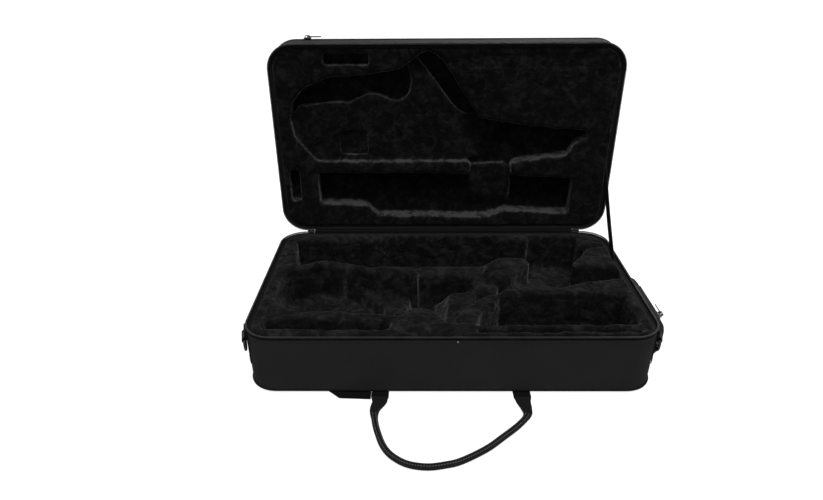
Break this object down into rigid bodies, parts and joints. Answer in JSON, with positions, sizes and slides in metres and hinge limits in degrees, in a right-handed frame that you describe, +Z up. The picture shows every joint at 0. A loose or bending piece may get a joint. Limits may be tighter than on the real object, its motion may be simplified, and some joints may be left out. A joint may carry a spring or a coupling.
{
  "type": "double saxophone case",
  "caption": "Soft-shell zip case for two saxophones, open: plush-lined base wells and lid recesses, carry handles, strap rings, outer pouch",
  "frame": {"origin": "centre of the base cover's underside, 2.7 mm above the plane the case stands on, because the carry webbing under the base is what touches it", "axes": "+X to the right of someone facing the open case, +Y from the front wall to the hinge, +Z up"},
  "size_m": [0.7186, 0.6259, 0.5043],
  "materials": {
    "black_nylon": "matt woven nylon, black",
    "black_plush": "crushed pile, black",
    "black_webbing": "flat woven webbing, black",
    "black_coil": "nylon zip coil, black",
    "grey_piping": "dark grey piping",
    "board": "unseen stiff board inside the cover",
    "black_metal": "glossy black die-cast",
    "bright_steel": "bright domed rivet"
  },
  "bodies": {
    "base": {"base_bottom_piping": "grey_piping", "base_cover": "black_nylon", "base_floor_board": "board", "base_wall_frame": "board", "base_zip_coil": "black_coil", "base_zip_tape": "black_webbing", "carry_webbing_left": "black_webbing", "carry_webbing_right": "black_webbing", "front_rivet": "bright_steel", "hinge_strip": "black_nylon", "ring_tab_left": "black_webbing", "ring_tab_right": "black_webbing", "side_pouch": "black_nylon", "side_pouch_zip": "black_coil", "stay_strap": "black_webbing", "webbing_tail": "black_webbing", "base_floor_pad": "black_plush", "base_liner_rear": "black_plush", "base_liner_left": "black_plush", "base_liner_front": "black_plush", "base_liner_front_right": "black_plush", "base_liner_right": "black_plush", "base_liner_right_rear": "black_plush", "base_liner_divider": "black_plush", "base_liner_step": "black_plush", "base_liner_saddle": "black_plush", "base_liner_key_ridge": "black_plush", "base_liner_front_ridge": "black_plush", "base_liner_centre": "black_plush"},
    "lid": {"lid_cover": "black_nylon", "lid_handle_patch_left": "black_webbing", "lid_handle_patch_right": "black_webbing", "lid_outer_board": "board", "lid_pocket_panel": "black_nylon", "lid_pocket_piping": "grey_piping", "lid_pocket_zip": "black_coil", "lid_wall_frame": "board", "lid_zip_coil": "black_coil", "lid_zip_tape": "black_webbing", "lid_backing_pad": "black_plush", "lid_liner_top_left": "black_plush", "lid_liner_top_right": "black_plush", "lid_liner_right": "black_plush", "lid_liner_left": "black_plush", "lid_liner_bottom": "black_plush", "lid_liner_bar": "black_plush", "lid_liner_bell_floor": "black_plush"},
    "base_handle": {"base_handle": "black_webbing"},
    "lid_handle": {"lid_handle": "black_webbing"},
    "ring_left": {"d_ring_left": "black_metal"},
    "ring_right": {"d_ring_right": "black_metal"},
    "main_slider_left": {"main_slider_left": "black_metal"},
    "main_slider_right": {"main_slider_right": "black_metal"},
    "main_pull_left": {"main_pull_left": "black_metal"},
    "main_pull_right": {"main_pull_right": "black_metal"},
    "pocket_slider": {"pocket_slider": "black_metal"},
    "pocket_pull": {"pocket_pull": "black_metal"},
    "pouch_slider": {"pouch_slider": "black_metal"},
    "pouch_pull": {"pouch_pull": "black_metal"}
  },
  "joints": [
    {"name": "lid_hinge", "type": "hinge", "parent": "base", "child": "lid", "pos_m": [0, 0.1925, 0.11], "axis": [1, 0, 0], "range_deg": [0, 90], "deforming": ["hinge_strip", "stay_strap"]},
    {"name": "main_slider_left_turn", "type": "hinge", "parent": "base", "child": "main_slider_left", "pos_m": [-0.283, 0.1925, 0.11], "axis": [1, 0, 0], "range_deg": [0, 45]},
    {"name": "main_slider_right_turn", "type": "hinge", "parent": "base", "child": "main_slider_right", "pos_m": [0.283, 0.1925, 0.11], "axis": [1, 0, 0], "range_deg": [0, 45]},
    {"name": "main_pull_left_swing", "type": "hinge", "parent": "main_slider_left", "child": "main_pull_left", "pos_m": [-0.283, 0.19851, 0.10399], "axis": [0, 0.7071, 0.7071], "range_deg": [-90, 90]},
    {"name": "main_pull_right_swing", "type": "hinge", "parent": "main_slider_right", "child": "main_pull_right", "pos_m": [0.283, 0.19851, 0.10399], "axis": [0, 0.7071, 0.7071], "range_deg": [-90, 90]},
    {"name": "pocket_slider_slide", "type": "slide", "parent": "lid", "child": "pocket_slider", "axis": [1, 0, 0], "range_m": [0, 0.532]},
    {"name": "pocket_pull_swing", "type": "hinge", "parent": "pocket_slider", "child": "pocket_pull", "pos_m": [-0.266, 0.2472, 0.4987], "axis": [0, -1, 0], "range_deg": [0, 180]},
    {"name": "pouch_slider_slide", "type": "slide", "parent": "base", "child": "pouch_slider", "axis": [0, 1, 0], "range_m": [0, 0.086]},
    {"name": "pouch_pull_swing", "type": "hinge", "parent": "pouch_slider", "child": "pouch_pull", "pos_m": [0.36562, -0.09498, 0.08949], "axis": [0.5547, 0, -0.8321], "range_deg": [0, 180]},
    {"name": "ring_left_swing", "type": "hinge", "parent": "base", "child": "ring_left", "pos_m": [-0.34121, -0.15665, 0.0855], "axis": [-0.2575, 0.9663, 0], "range_deg": [0, 150]},
    {"name": "ring_right_swing", "type": "hinge", "parent": "base", "child": "ring_right", "pos_m": [0.34121, -0.15665, 0.0855], "axis": [-0.2575, -0.9663, 0], "range_deg": [0, 150]},
    {"name": "base_handle_swing", "type": "hinge", "parent": "base", "child": "base_handle", "pos_m": [0, -0.2035, 0], "axis": [-1, 0, 0], "range_deg": [0, 90]},
    {"name": "lid_handle_swing", "type": "hinge", "parent": "lid", "child": "lid_handle", "pos_m": [0, 0.2567, 0.4612], "axis": [1, 0, 0], "range_deg": [0, 150]}
  ],
  "couplings": [
    {"joint": "main_slider_left_turn", "follows": "lid_hinge", "ratio": 0.5},
    {"joint": "main_slider_right_turn", "follows": "lid_hinge", "ratio": 0.5}
  ]
}
